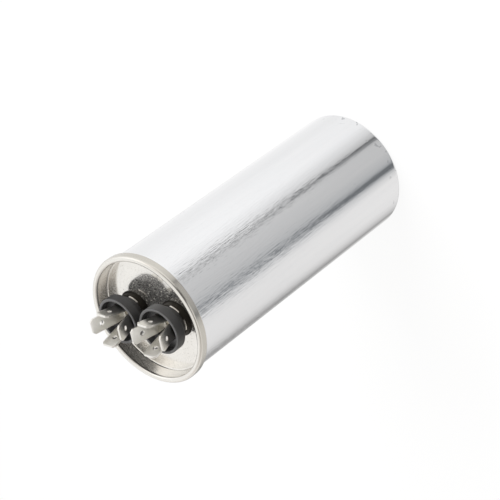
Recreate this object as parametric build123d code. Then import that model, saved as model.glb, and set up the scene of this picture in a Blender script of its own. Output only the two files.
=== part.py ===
from build123d import *
from math import cos, hypot, radians, sin
import os

# Motor run capacitor. A drawn aluminium can is closed by a tinplate lid, double-seamed
# round its rim. Two black insulating cups stand on the lid, each with two crossed strips
# of quick-connect tabs held by one rivet. Inside are the film winding with its sprayed
# ends, the tray and the spacer that hold it, and the two leads to the rivets.
# Millimetres. +Z is the can's axis with the terminals up, the origin is the centre of
# the base, and +X points from the left terminal to the right one.

# Can
can_diameter = 50.0
can_height = 126.5
can_wall = 0.5
can_base = 0.8
base_corner = 1.4

# Lid and double seam
lid_sheet = 0.4
lid_depth = 6.0
lid_corner = 0.6
seam_height = 3.7
seam_press = 0.1
seam_neck = 0.6
seam_clearance = 0.03
seam_compound = 0.1
hook_end_gap = 0.12
collar_height = 2.9
collar_foot_radius = 0.4
collar_edge_round = 0.28

# Terminal cups
cup_gap = 1.9
cup_height = 10.1
cup_flange_height = 4.2
cup_flange_web = 1.0
cup_lip_wall = 1.1
cup_mouth_step = 2.55
cup_neck_wall = 0.75
cup_neck_reach = 0.5
cup_neck_clearance = 0.05
cup_socket_clearance = 0.15
cup_floor = 1.5
cup_under_fillet = 0.5
cup_lip_fillet = 0.3

# Quick-connect tabs
tab_width = 6.35
tab_thickness = 0.8
tab_bend_rise = 5.2
tab_blade_length = 10.9
tab_corner_radius = 0.3
tab_strip_clearance = 0.1
tab_splay_radius = 1.5
tab_tip_chamfer = 1.0
tab_tip_bevel = 0.2
tab_hole_diameter = 1.9
tab_hole_from_tip = 4.4
west_splay = 14.0
east_splay = 18.0
south_splay = 12.5
north_splay = 13.0
lower_strip_turn = -2.5

# Rivets and what they hold under the lid
rivet_diameter = 4.0
rivet_clearance = 0.05
rivet_head_diameter = 5.6
rivet_head_height = 1.0
rivet_tail_diameter = 6.4
rivet_tail_height = 0.9
rivet_brim_share = 0.35
under_insulator_diameter = 18.0
under_insulator_thickness = 1.6
under_insulator_clearance = 0.1
seal_width = 1.0
seal_height = 0.8
solder_tag_thickness = 0.6
solder_tag_diameter = 7.4
solder_tag_tongue_width = 3.2

# Film winding
end_spray = 0.6
core_tube_diameter = 8.0
core_tube_wall = 1.5
film_wrap = 0.5
film_wrap_clearance = 0.05

# Tray under the winding and spacer over it
holder_wall = 1.2
holder_can_clearance = 0.35
holder_wrap_clearance = 0.1
tray_floor = 1.2
tray_height = 14.0
tray_ledge_height = 3.0
tray_ledge_width = 3.0
tray_ledge_inset = 1.3
spacer_height = 13.9
spacer_floor = 1.5
spacer_skirt = 6.0
spacer_core_hole_diameter = 6.0
spacer_window_margin = 2.0

# Leads
lead_diameter = 1.2
lead_clearance = 0.05
lead_bend_radius = 2.5
lead_side_clearance = 0.6
lead_end_proud = 0.3
lead_crossing_height = 4.0
lead_foot = 8.0
lead_bottom_run = 14.0

# Shared by every cut that has to pass right through, and by every search for an edge
overrun = 1.0
edge_tolerance = 0.02

# Radii of the seam, which presses the can's wall in a little. From the countersink wall
# outwards, the lid's wall, the can's wall, the lid's hook, the can's hook and the lid's outer
# panel lie against each other.
can_r = can_diameter / 2
can_inner_r = can_r - can_wall
seam_wall_r = can_r - seam_press
seam_wall_inner_r = seam_wall_r - can_wall
lid_wall_outer_r = seam_wall_inner_r - seam_compound
lid_wall_r = lid_wall_outer_r - lid_sheet
lid_hook_r = seam_wall_r + seam_clearance
lid_hook_outer_r = lid_hook_r + lid_sheet
can_hook_r = lid_hook_outer_r + seam_clearance
can_hook_outer_r = can_hook_r + can_wall
lid_panel_r = can_hook_outer_r + seam_compound
seam_outer_r = lid_panel_r + lid_sheet

# Heights of the seam: both sheets turn over about one centre, and the lid tucks up
# about a second one
seam_turn_outer = (seam_outer_r - lid_wall_r) / 2
seam_turn_z = can_height - seam_turn_outer
seam_tuck_outer = (seam_outer_r - lid_hook_r) / 2
seam_foot_z = can_height - seam_height
seam_tuck_z = seam_foot_z + seam_tuck_outer
neck_z = seam_foot_z - seam_neck

# Heights of the lid and of what stands on it
deck_z = can_height - lid_depth
under_lid_z = deck_z - lid_sheet
cup_flange_z = cup_height - cup_flange_height
neck_end = lid_sheet + cup_neck_reach
lower_strip_z = cup_floor
upper_strip_z = lower_strip_z + tab_thickness
rivet_head_z = upper_strip_z + tab_thickness
under_insulator_z = -lid_sheet - under_insulator_thickness
solder_tag_z = under_insulator_z - solder_tag_thickness

# Radii of a terminal: the upper strip lies, a little out of square, between the roots of the
# lower one, the cup clears the corners of the roots, and the lid's collar fits the cup's neck
strip_turn = radians(abs(lower_strip_turn))
strip_across = tab_width * (cos(strip_turn) + sin(strip_turn))
tab_root = (strip_across + tab_strip_clearance + tab_thickness) / 2 + tab_corner_radius
socket_r = hypot(tab_root + tab_thickness / 2, tab_width / 2) + cup_socket_clearance
neck_r = socket_r + cup_neck_wall
mouth_r = socket_r + cup_mouth_step
flange_r = mouth_r + cup_lip_wall
terminal_spacing = 2 * flange_r + cup_gap
collar_r = neck_r + cup_neck_clearance
collar_outer_r = collar_r + lid_sheet
collar_foot_r = collar_outer_r + collar_foot_radius
seat_r = collar_outer_r - collar_edge_round
under_insulator_r = under_insulator_diameter / 2
seal_r = (collar_foot_r + under_insulator_r) / 2
rivet_hole_r = rivet_diameter / 2 + rivet_clearance

# Heights of what the can holds: the winding fills the room between the tray and the spacer
tray_z = can_base
ledge_z = tray_z + tray_floor + tray_ledge_height
winding_z = ledge_z + end_spray
spray_top_z = under_lid_z - spacer_height
winding_top_z = spray_top_z - end_spray

# Radii of what the can holds, from the can inwards
can_inner_corner = base_corner - can_wall
holder_outer_r = can_inner_r - holder_can_clearance
holder_inner_r = holder_outer_r - holder_wall
wrap_outer_r = holder_inner_r - holder_wrap_clearance
wrap_inner_r = wrap_outer_r - film_wrap
winding_r = wrap_inner_r - film_wrap_clearance
core_r = core_tube_diameter / 2
lead_r = lead_diameter / 2
lead_hole_from_axis = under_insulator_r + lead_side_clearance + lead_r


def turned(section):
    """Solid of a section drawn as radius and height, turned about the Z axis."""
    return revolve(Plane.XZ * section, Axis.Z)


def ring(inner_r, outer_r, bottom, top):
    """Plain ring between two radii and two heights."""
    width = outer_r - inner_r
    height = top - bottom
    return turned(Pos(inner_r + width / 2, bottom + height / 2) * Rectangle(width, height))


def rod(radius, bottom, top):
    """Upright round bar or hole on the Z axis."""
    return Pos(0, 0, bottom) * extrude(Circle(radius), top - bottom)


def edges_at(solid, radius, height):
    """Round edges of a turned solid at one radius and height."""
    round_edges = solid.edges().filter_by(GeomType.CIRCLE)
    level = round_edges.filter_by(lambda edge: abs((edge @ 0).Z - height) < edge_tolerance)
    return level.filter_by(lambda edge: abs(edge.radius - radius) < edge_tolerance)


def terminal_places():
    """Name and place, on the lid's deck, of each terminal."""
    half = terminal_spacing / 2
    return [("left", Pos(-half, 0, deck_z)), ("right", Pos(half, 0, deck_z))]


def make_can():
    """Drawn can: thick base, rounded corner, straight wall, short neck and the hook in the seam."""
    hook_end = seam_tuck_z + hook_end_gap
    turn_r = (can_hook_r - seam_wall_r) / 2
    turn_outer = (can_hook_outer_r - seam_wall_inner_r) / 2
    base = Line((0, 0), (can_r - base_corner, 0))
    corner = JernArc(base @ 1, base % 1, base_corner, 90)
    wall = Polyline(
        corner @ 1,
        (can_r, neck_z),
        (seam_wall_r, seam_foot_z),
        (seam_wall_r, seam_turn_z),
    )
    turn = JernArc(wall @ 1, (0, 1), turn_r, -180)
    hook = Polyline(
        turn @ 1,
        (can_hook_r, hook_end),
        (can_hook_outer_r, hook_end),
        (can_hook_outer_r, seam_turn_z),
    )
    turn_back = JernArc(hook @ 1, (0, 1), turn_outer, 180)
    inner_wall = Polyline(
        turn_back @ 1,
        (seam_wall_inner_r, seam_foot_z),
        (can_inner_r, neck_z),
        (can_inner_r, can_base + can_inner_corner),
    )
    inner_turn = JernArc(inner_wall @ 1, (0, -1), can_inner_corner, -90)
    floor = Polyline(inner_turn @ 1, (0, can_base), (0, 0))
    outline = [base, corner, wall, turn, hook, turn_back, inner_wall, inner_turn, floor]
    return turned(make_face(Curve() + outline))


def make_lid():
    """Pressed lid: one bent sheet from the deck, up its wall, over the can's hook and under it,
    drawn up into a collar round each terminal."""
    half = lid_sheet / 2
    corner_r = lid_corner + half
    deck = Line((0, deck_z - half), (lid_wall_r - lid_corner, deck_z - half))
    corner = JernArc(deck @ 1, deck % 1, corner_r, 90)
    wall = Line(corner @ 1, (lid_wall_r + half, seam_turn_z))
    turn = JernArc(wall @ 1, wall % 1, seam_turn_outer - half, -180)
    panel = Line(turn @ 1, (seam_outer_r - half, seam_tuck_z))
    tuck = JernArc(panel @ 1, panel % 1, seam_tuck_outer - half, -180)
    hook = Line(tuck @ 1, (lid_hook_r + half, seam_turn_z - hook_end_gap))
    path = Curve() + [deck, corner, wall, turn, panel, tuck, hook]
    lid = turned(trace(path, lid_sheet))
    collar = make_collar()
    for _, place in terminal_places():
        lid -= place * rod(collar_foot_r, -lid_sheet - overrun, overrun)
        lid += place * collar
    return lid


def make_collar():
    """Collar drawn up from the deck: rounded foot, straight wall and rounded outer edge."""
    half = lid_sheet / 2
    foot = JernArc((collar_foot_r, -half), (-1, 0), collar_foot_radius + half, -90)
    wall = Line(foot @ 1, (collar_r + half, collar_height))
    collar = turned(trace(Curve() + [foot, wall], lid_sheet))
    return fillet(edges_at(collar, collar_outer_r, collar_height), collar_edge_round)


def make_compound():
    """Lining of sealing compound between the can's hook and the lid that wraps it."""
    half = seam_compound / 2
    foot = seam_tuck_z + hook_end_gap
    inner = Line((lid_wall_outer_r + half, foot), (lid_wall_outer_r + half, seam_turn_z))
    turn = JernArc(inner @ 1, inner % 1, seam_turn_outer - lid_sheet - half, -180)
    outer = Line(turn @ 1, (lid_panel_r - half, foot))
    return turned(trace(Curve() + [inner, turn, outer], seam_compound))


def make_cup():
    """Stepped insulating cup: neck in the collar, seat on its edge, flange, wide mouth and socket."""
    mouth_floor = cup_flange_z + cup_flange_web
    section = Polyline(
        (rivet_hole_r, -neck_end),
        (neck_r, -neck_end),
        (neck_r, collar_height),
        (seat_r, collar_height),
        (seat_r, cup_flange_z),
        (flange_r, cup_flange_z),
        (flange_r, cup_height),
        (mouth_r, cup_height),
        (mouth_r, mouth_floor),
        (socket_r, mouth_floor),
        (socket_r, cup_floor),
        (rivet_hole_r, cup_floor),
        close=True,
    )
    cup = turned(make_face(section))
    cup = fillet(edges_at(cup, flange_r, cup_flange_z), cup_under_fillet)
    lip = edges_at(cup, flange_r, cup_height) + edges_at(cup, mouth_r, cup_height)
    lip += edges_at(cup, socket_r, mouth_floor)
    return fillet(lip, cup_lip_fillet)


def make_tab_strip(base_z, first_splay, second_splay):
    """Strip bent to a U, its base along X at base_z, with a blade splayed out at each end.
    Every blade starts to splay at the same height, whichever strip it is on."""
    middle = base_z + tab_thickness / 2
    bend_z = cup_floor + tab_bend_rise
    first_tip = Vector(-tab_root, bend_z) + Vector(0, tab_blade_length).rotate(Axis.Z, first_splay)
    second_tip = Vector(tab_root, bend_z) + Vector(0, tab_blade_length).rotate(Axis.Z, -second_splay)
    corner_r = tab_corner_radius + tab_thickness / 2
    path = FilletPolyline(
        first_tip,
        (-tab_root, bend_z),
        (-tab_root, middle),
        (tab_root, middle),
        (tab_root, bend_z),
        second_tip,
        radius=[tab_splay_radius, corner_r, corner_r, tab_splay_radius],
    )
    strip = extrude(Plane.XZ * trace(path, tab_thickness), tab_width / 2, both=True)
    for side, splay, tip in ((-1, first_splay, first_tip), (1, second_splay, second_tip)):
        blade = Pos(tip.X, 0, tip.Y) * Rot(0, side * splay, 0)
        strip = shape_tip(strip, blade)
        hole = Rot(0, 90, 0) * Cylinder(tab_hole_diameter / 2, tab_thickness + overrun)
        strip -= blade * Pos(0, 0, -tab_hole_from_tip) * hole
    return strip - rod(rivet_hole_r, base_z - overrun, base_z + tab_thickness + overrun)


def shape_tip(strip, blade):
    """Tip of one blade: its two corners cut off and its faces bevelled to lead a socket on."""
    near = strip.edges().filter_by(
        lambda edge: (edge.center() - blade.position).length < tab_width / 2 + edge_tolerance
    )
    corners = near.filter_by(lambda edge: abs(edge.length - tab_thickness) < edge_tolerance)
    strip = chamfer(corners, tab_tip_chamfer)
    near = strip.edges().filter_by(Axis.Y).filter_by(
        lambda edge: (edge.center() - blade.position).length < tab_thickness
    )
    return chamfer(near, tab_tip_bevel)


def make_rivet():
    """Rivet with a domed head on the upper strip and a spread tail under the solder tag."""
    shank_r = rivet_diameter / 2
    head_r = rivet_head_diameter / 2
    tail_r = rivet_tail_diameter / 2
    crown = Vector(0, rivet_head_z + rivet_head_height)
    point = Vector(0, solder_tag_z - rivet_tail_height)
    head_brim = rivet_head_z + rivet_brim_share * rivet_head_height
    tail_brim = solder_tag_z - rivet_brim_share * rivet_tail_height
    head = TangentArc(crown, (head_r, head_brim), tangent=(1, 0))
    sides = Polyline(
        (head_r, head_brim),
        (head_r, rivet_head_z),
        (shank_r, rivet_head_z),
        (shank_r, solder_tag_z),
        (tail_r, solder_tag_z),
        (tail_r, tail_brim),
    )
    tail = TangentArc(point, (tail_r, tail_brim), tangent=(1, 0))
    axis = Line(point, crown)
    return turned(make_face(Curve() + [head, sides, tail, axis]))


def make_seal():
    """Rubber ring in the groove of the insulating washer, pressed against the lid from below."""
    return ring(seal_r - seal_width / 2, seal_r + seal_width / 2, -lid_sheet - seal_height, -lid_sheet)


def make_under_insulator():
    """Insulating washer under the lid, with a recess for the end of the cup's neck and a seal groove."""
    washer = ring(rivet_hole_r, under_insulator_r, under_insulator_z, -lid_sheet)
    washer -= rod(neck_r + under_insulator_clearance, -neck_end, -lid_sheet + overrun)
    return washer - make_seal()


def make_solder_tag():
    """Flat tag round the rivet, with a tongue towards -Y that takes the lead."""
    tongue_end = Pos(0, -lead_hole_from_axis)
    tongue = Pos(0, -lead_hole_from_axis / 2) * Rectangle(solder_tag_tongue_width, lead_hole_from_axis)
    plan = Circle(solder_tag_diameter / 2) + tongue + tongue_end * Circle(solder_tag_tongue_width / 2)
    plan -= Circle(rivet_hole_r)
    plan -= tongue_end * Circle(lead_r + lead_clearance)
    return Pos(0, 0, solder_tag_z) * extrude(plan, solder_tag_thickness)


def make_tray():
    """Insulating tray on the can's base, with a ring ledge that the winding stands on."""
    floor_z = tray_z + tray_floor
    top_z = tray_z + tray_height
    tray = rod(holder_outer_r, tray_z, top_z) - rod(holder_inner_r, floor_z, top_z + overrun)
    ledge_outer_r = winding_r - tray_ledge_inset
    tray += ring(ledge_outer_r - tray_ledge_width, ledge_outer_r, floor_z, ledge_z)
    return fillet(edges_at(tray, holder_outer_r, tray_z), can_inner_corner + holder_can_clearance)


def make_spacer():
    """Insulating spacer between the winding and the lid, with ways through for the two leads."""
    skirt_z = spray_top_z - spacer_skirt
    floor_top_z = spray_top_z + spacer_floor
    spacer = ring(holder_inner_r, holder_outer_r, skirt_z, under_lid_z)
    spacer += rod(holder_outer_r, spray_top_z, floor_top_z)
    spacer -= rod(spacer_core_hole_diameter / 2, spray_top_z - overrun, floor_top_z + overrun)
    window_length = lead_foot + 2 * spacer_window_margin
    window_width = lead_diameter + 2 * spacer_window_margin
    window = SlotOverall(window_length, window_width, rotation=90)
    window_y = lead_foot / 2 - lead_hole_from_axis
    cut = extrude(window, spacer_floor + 2 * overrun)
    return spacer - Pos(-terminal_spacing / 2, window_y, spray_top_z - overrun) * cut


def make_lead(points):
    """Round wire bent along straight runs, with one radius at every bend."""
    path = FilletPolyline(*points, radius=lead_bend_radius)
    section = Plane(path @ 0, z_dir=path % 0) * Circle(lead_r)
    return sweep(section, path)


def make_top_lead():
    """Lead from the left solder tag down to the sprayed top of the winding."""
    x = -terminal_spacing / 2
    y = -lead_hole_from_axis
    start_z = deck_z + solder_tag_z + solder_tag_thickness + lead_end_proud
    foot_z = spray_top_z + lead_r
    return make_lead([(x, y, start_z), (x, y, foot_z), (x, y + lead_foot, foot_z)])


def make_bottom_lead():
    """Lead from the right solder tag through the core tube to the sprayed bottom of the winding."""
    x = terminal_spacing / 2
    y = -lead_hole_from_axis
    start_z = deck_z + solder_tag_z + solder_tag_thickness + lead_end_proud
    crossing_z = spray_top_z + lead_crossing_height
    foot_z = ledge_z - lead_r
    return make_lead([
        (x, y, start_z),
        (x, y, crossing_z),
        (0, 0, crossing_z),
        (0, 0, foot_z),
        (lead_bottom_run, 0, foot_z),
    ])


def make_parts():
    """Every piece of the capacitor under its own name, in place."""
    parts = {
        "can": make_can(),
        "lid": make_lid(),
        "seam_compound": make_compound(),
        "base_tray": make_tray(),
        "bottom_end_spray": ring(core_r, winding_r, ledge_z, winding_z),
        "film_winding": ring(core_r, winding_r, winding_z, winding_top_z),
        "core_tube": ring(core_r - core_tube_wall, core_r, ledge_z, spray_top_z),
        "top_end_spray": ring(core_r, winding_r, winding_top_z, spray_top_z),
        "film_wrap": ring(wrap_inner_r, wrap_outer_r, ledge_z, spray_top_z),
        "top_spacer": make_spacer(),
        "top_lead": make_top_lead(),
        "bottom_lead": make_bottom_lead(),
    }
    for side, place in terminal_places():
        across = place * Rot(0, 0, 90 + lower_strip_turn)
        parts[side + "_cup"] = place * make_cup()
        parts[side + "_seal"] = place * make_seal()
        parts[side + "_lower_tabs"] = across * make_tab_strip(lower_strip_z, south_splay, north_splay)
        parts[side + "_upper_tabs"] = place * make_tab_strip(upper_strip_z, west_splay, east_splay)
        parts[side + "_rivet"] = place * make_rivet()
        parts[side + "_under_insulator"] = place * make_under_insulator()
        parts[side + "_solder_tag"] = place * make_solder_tag()
    return parts


os.makedirs("parts", exist_ok=True)
for name, solid in make_parts().items():
    export_step(solid, os.path.join("parts", name + ".step"))
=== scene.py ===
from math import cos, pi, radians, sin, tan

import bmesh
import bpy
from mathutils import Matrix, Vector


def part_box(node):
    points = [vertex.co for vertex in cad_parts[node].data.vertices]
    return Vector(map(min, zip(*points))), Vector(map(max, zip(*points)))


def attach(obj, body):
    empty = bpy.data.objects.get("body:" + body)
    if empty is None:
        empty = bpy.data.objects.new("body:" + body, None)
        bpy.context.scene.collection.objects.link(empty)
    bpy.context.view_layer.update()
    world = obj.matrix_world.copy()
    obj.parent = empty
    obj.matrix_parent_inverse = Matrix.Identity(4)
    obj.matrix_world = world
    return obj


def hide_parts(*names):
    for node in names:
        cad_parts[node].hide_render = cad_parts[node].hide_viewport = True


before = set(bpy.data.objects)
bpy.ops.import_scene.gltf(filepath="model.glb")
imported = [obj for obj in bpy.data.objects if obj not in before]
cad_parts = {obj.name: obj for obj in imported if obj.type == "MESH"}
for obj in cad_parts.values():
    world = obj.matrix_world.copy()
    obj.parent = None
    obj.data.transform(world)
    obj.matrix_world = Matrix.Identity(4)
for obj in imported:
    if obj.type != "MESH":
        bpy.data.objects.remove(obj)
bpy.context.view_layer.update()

# Sizes in metres. What the solids already say is read from their boxes.

# Sheets and the double seam
lid_sheet = 0.0004
lid_corner = 0.0006
can_wall = 0.0005
can_base = 0.0008
base_corner = 0.0014
seam_height = 0.0037
seam_clearance = 0.00003
seam_compound = 0.0001
seam_press = 0.0001
seam_neck = 0.0006
hook_end_gap = 0.00012
collar_height = 0.0029
collar_foot_radius = 0.0004
collar_edge_round = 0.00028

lid_low, lid_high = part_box("lid")
rim_z = lid_high.z
deck_z = lid_low.z + lid_sheet
seam_outer_r = lid_high.x
lid_panel_r = seam_outer_r - lid_sheet
can_hook_outer_r = lid_panel_r - seam_compound
can_hook_r = can_hook_outer_r - can_wall
lid_hook_outer_r = can_hook_r - seam_clearance
lid_hook_r = lid_hook_outer_r - lid_sheet
seam_wall_r = lid_hook_r - seam_clearance
seam_wall_inner_r = seam_wall_r - can_wall
can_r = seam_wall_r + seam_press
can_inner_r = can_r - can_wall
seam_foot_z = rim_z - seam_height
neck_z = seam_foot_z - seam_neck
lid_wall_outer_r = seam_wall_inner_r - seam_compound
lid_wall_r = lid_wall_outer_r - lid_sheet
seam_turn_r = (lid_wall_r + seam_outer_r) / 2
seam_turn = seam_outer_r - seam_turn_r
seam_turn_z = rim_z - seam_turn
seam_tuck_r = (lid_hook_r + seam_outer_r) / 2
seam_tuck = seam_outer_r - seam_tuck_r
seam_tuck_z = seam_foot_z + seam_tuck

# Terminal cups, heights from the deck
cup_flange_height = 0.0042
cup_flange_web = 0.001
cup_lip_wall = 0.0011
cup_mouth_step = 0.00255
cup_neck_wall = 0.00075
cup_neck_clearance = 0.00005
cup_floor = 0.0015
cup_under_fillet = 0.0005
cup_lip_fillet = 0.0003
rivet_r = 0.002
rivet_clearance = 0.00005

cup_low, cup_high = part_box("left_cup")
cup_height = cup_high.z - deck_z
flange_r = (cup_high.x - cup_low.x) / 2
mouth_r = flange_r - cup_lip_wall
socket_r = mouth_r - cup_mouth_step
neck_r = socket_r + cup_neck_wall
collar_r = neck_r + cup_neck_clearance
collar_outer_r = collar_r + lid_sheet
collar_foot_r = collar_outer_r + collar_foot_radius
seat_r = collar_outer_r - collar_edge_round

# Painted shade on the lid's collars, dark up to the edge along one run, with a bare band at the top edge on
# both sides of it that shows a highlight
painted_shade_fade = 0.0002
shade_run_bearing = radians(32.0)
shade_run_side = (radians(9.6), radians(14.4))
highlight_band_height = 0.0006
highlight_band_end = (radians(49.4), radians(54.6))

# Rivets, heights from the deck
rivet_head_r = 0.0028
rivet_head_height = 0.001
rivet_tail_height = 0.0009
rivet_brim_share = 0.35

rivet_low, rivet_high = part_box("left_rivet")
rivet_tail_r = (rivet_high.x - rivet_low.x) / 2

# Tab strips, heights from the deck
tab_width = 0.00635
tab_thickness = 0.0008
tab_bend_rise = 0.0052
tab_blade_length = 0.0109
tab_corner_radius = 0.0003
tab_strip_clearance = 0.0001
tab_splay_radius = 0.0015
tab_tip_chamfer = 0.001
tab_tip_setback = 0.00003
tab_edge_round = 0.00012
tab_hole_r = 0.00095
tab_hole_from_tip = 0.0044
west_splay = radians(14.0)
east_splay = radians(18.0)
south_splay = radians(12.5)
north_splay = radians(13.0)
lower_strip_turn = radians(-2.5)

strip_across = tab_width * (cos(lower_strip_turn) + sin(abs(lower_strip_turn)))
tab_root = (strip_across + tab_strip_clearance + tab_thickness) / 2 + tab_corner_radius

# Camera, with its lens and its sensor in millimetres
camera_place = Vector((0.447191, 0.312907, 0.515266))
aim_place = Vector((0.001095, -0.001553, 0.067092))
camera_roll = radians(-126.5453)
camera_lens = 132.586
camera_sensor = 36.0
camera_near = 0.01

# Floor and lamp
floor_reach = 3.0
floor_paint = (0.95, 0.95, 0.95, 1)
floor_glow_share = 0.9
lamp_place = Vector((-0.2, 0.7, 0.75))
lamp_size = 0.6
lamp_watts = 8.0

# Light tent: bearing in degrees, level and warmth of its sides, in rings from its foot upwards
tent_join_deg = -145.0
tent_foot = (
    (-145, 0.70, 0.0),
    (-125, 0.70, 0.01),
    (-113, 0.40, 0.01),
    (-101, 0.63, 0.01),
    (-89, 0.74, 0.01),
    (-77, 0.83, 0.01),
    (-53, 0.865, 0.01),
    (-29, 0.85, 0.01),
    (-18, 0.67, 0.0),
    (-13.5, 0.52, -0.01),
    (-11, 0.32, -0.03),
    (-9.5, 0.18, -0.05),
    (-2, 0.17, -0.05),
    (0, 0.32, -0.03),
    (3, 0.44, -0.02),
    (8, 0.50, -0.01),
    (23, 0.57, 0.0),
    (44, 0.575, 0.0),
    (50, 0.52, 0.0),
    (51.5, 0.24, -0.02),
    (57.5, 0.16, -0.02),
    (59, 0.46, 0.0),
    (65, 0.58, 0.0),
    (73, 0.72, 0.0),
    (91, 0.92, 0.0),
    (127, 0.93, 0.0),
    (150, 0.89, 0.0),
    (181, 0.95, 0.0),
    (199, 1.02, 0.0),
    (214, 0.70, 0.0),
)
tent_low = (
    (-145, 0.60, 0.0),
    (-125, 0.52, 0.01),
    (-113, 0.26, 0.01),
    (-101, 0.49, 0.01),
    (-89, 0.68, 0.01),
    (-77, 0.79, 0.01),
    (-53, 0.82, 0.01),
    (-29, 0.82, 0.01),
    (-18, 0.71, 0.0),
    (-12, 0.64, -0.01),
    (-10, 0.56, -0.02),
    (-9, 0.21, -0.05),
    (-3, 0.20, -0.05),
    (-1, 0.46, -0.02),
    (8, 0.52, -0.01),
    (23, 0.58, 0.0),
    (48, 0.635, 0.0),
    (54.5, 0.62, 0.0),
    (55.5, 0.18, -0.02),
    (58.5, 0.16, -0.02),
    (59.5, 0.70, 0.0),
    (65, 0.81, 0.0),
    (73, 0.90, 0.0),
    (91, 1.02, 0.0),
    (127, 0.98, 0.0),
    (150, 0.93, 0.0),
    (181, 0.95, 0.0),
    (199, 1.0, 0.0),
    (214, 0.62, 0.0),
)
tent_eye = (
    (-145, 0.85, 0.02),
    (-60, 0.90, 0.02),
    (5, 1.0, 0.0),
    (18, 0.90, 0.0),
    (24, 0.10, 0.08),
    (46, 0.10, 0.08),
    (52, 1.0, 0.0),
    (76, 1.3, 0.0),
    (110, 1.0, 0.0),
    (214, 0.85, 0.02),
)
tent_high = (
    (-145, 1.0, 0.01),
    (-131, 1.0, 0.01),
    (-107, 0.75, 0.04),
    (-83, 0.55, 0.06),
    (-59, 0.50, 0.07),
    (-20, 0.28, 0.09),
    (25, 0.07, 0.10),
    (50, 0.08, 0.10),
    (61, 0.18, 0.09),
    (85, 0.46, 0.07),
    (109, 1.05, 0.04),
    (133, 1.3, 0.01),
    (157, 1.2, 0.0),
    (180, 0.98, 0.0),
    (214, 1.04, 0.0),
)
tent_crown = (0.92, 0.91, 0.89, 1)

# Rise of a direction, as its sine, over which each ring of the tent takes over from the one below
low_rise = (-0.71, -0.63)
eye_rise = (-0.35, -0.15)
high_rise = (0.15, 0.45)
crown_rise = (0.70, 0.82)

# Colours of the finishes
aluminium_grey = (0.87, 0.875, 0.89, 1)
aluminium_bright = (0.92, 0.92, 0.925, 1)
aluminium_scuff = (0.62, 0.63, 0.65, 1)
aluminium_nick = (0.30, 0.31, 0.33, 1)
tinplate_warm = (0.82, 0.795, 0.75, 1)
tinplate_bright = (0.90, 0.885, 0.85, 1)
seam_crown_tone = (0.83, 0.81, 0.765, 1)
seam_panel_tone = (0.62, 0.59, 0.53, 1)
# Colour of the painted shade on the collars under the cups
painted_shade_tone = (0.05, 0.046, 0.04, 1)
deck_dust_tone = (0.80, 0.76, 0.68, 1)
plastic_dark = (0.040, 0.040, 0.041, 1)
plastic_light = (0.058, 0.058, 0.059, 1)
# Lighter grey for edge wear, also painted on the cups' top faces as a sheen
plastic_rubbed_and_sheen = (0.10, 0.10, 0.102, 1)
plastic_dust = (0.30, 0.29, 0.27, 1)
tab_warm = (0.85, 0.835, 0.79, 1)
tab_bright = (0.92, 0.91, 0.88, 1)
tab_scuff = (0.70, 0.67, 0.61, 1)
tab_rubbed = (0.93, 0.92, 0.89, 1)
rivet_dull = (0.56, 0.51, 0.43, 1)
rivet_bright = (0.80, 0.77, 0.70, 1)

# Depths of the finishes' reliefs
draw_line_depth = 0.00008
tinplate_grain_depth = 0.000003
plastic_grain_depth = 0.000008
tab_line_depth = 0.0000025
rivet_pit_depth = 0.00001
inner_grain_depth = 0.00001

# Ranges of the finishes' roughness
can_roughness = (0.045, 0.075)
tinplate_roughness = (0.06, 0.12)
plastic_roughness = (0.36, 0.46)
tab_roughness = (0.32, 0.40)
rivet_roughness = (0.25, 0.4)

# Levels of noise, lines and specks between which a finish passes from one look to another
noise_middle = (0.35, 0.65)
noise_wide = (0.3, 0.7)
nick_levels = (0.62, 0.68)
rubbed_levels = (0.38, 0.6)
scratch_edge = 0.06
crumb_edge = 0.6

# Heights of the draw lines, the dulling and the nicks on the can
draw_start_z = 0.1 * rim_z
draw_full_z = 0.7 * rim_z
dull_full_z = 0.95 * rim_z
nick_end_z = 5 * base_corner

# Strength of marks, wear and dust
draw_strength = (0.08, 1.0)
nick_strength = (0.0, 0.7)
can_scuff_strength = 0.35
deck_dust_film = 0.035
cup_wear_strength = 0.5
cup_dust_strength = 0.7
tab_scuff_strength = 0.2
tab_wear_strength = 0.6

# How finely curves are divided
body_segments = 288
cup_segments = 160
rivet_segments = 96
hole_segments = 48
arc_steps = 10
fillet_steps = 5
strip_rows = 160
strip_columns = 8
edge_segments = 3

# How edges are rounded, shaded and joined, and how long the cutters of holes are
edge_angle = radians(50)
smooth_below = radians(32)
support_gap = 0.00012
support_span = 0.0008
merge_gap = 1e-7
tab_cut = 3 * tab_thickness
deck_cut = 4 * lid_sheet


# Outlines, drawn as radius and height

def arc(centre, radius, start_deg, end_deg, steps=arc_steps):
    """Points on an arc, both ends included."""
    points = []
    for step in range(steps + 1):
        angle = radians(start_deg + (end_deg - start_deg) * step / steps)
        points.append(Vector((centre[0] + radius * cos(angle), centre[1] + radius * sin(angle))))
    return points


def with_supports(points):
    """Outline with a point close to each end of every long run, so that shading stays true there."""
    outline = [points[0]]
    for start, end in zip(points, points[1:]):
        run = end - start
        if run.length > support_span:
            step = run.normalized() * support_gap
            outline += [start + step, end - step]
        outline.append(end)
    return outline


def can_outline():
    """Drawn can: base, rounded corner, wall and the hook that the seam holds."""
    hook_end = seam_tuck_z + hook_end_gap
    inner_corner = base_corner - can_wall
    outline = [Vector((0, 0))]
    outline += arc((can_r - base_corner, base_corner), base_corner, -90, 0)
    outline += [Vector((can_r, neck_z)), Vector((seam_wall_r, seam_foot_z))]
    outline += arc((seam_turn_r, seam_turn_z), (can_hook_r - seam_wall_r) / 2, 180, 0)
    outline += [Vector((can_hook_r, hook_end)), Vector((can_hook_outer_r, hook_end))]
    outline += arc((seam_turn_r, seam_turn_z), (can_hook_outer_r - seam_wall_inner_r) / 2, 0, 180)
    outline += [Vector((seam_wall_inner_r, seam_foot_z)), Vector((can_inner_r, neck_z))]
    outline += arc((can_inner_r - inner_corner, can_base + inner_corner), inner_corner, 0, -90)
    outline.append(Vector((0, can_base)))
    return outline


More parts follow.
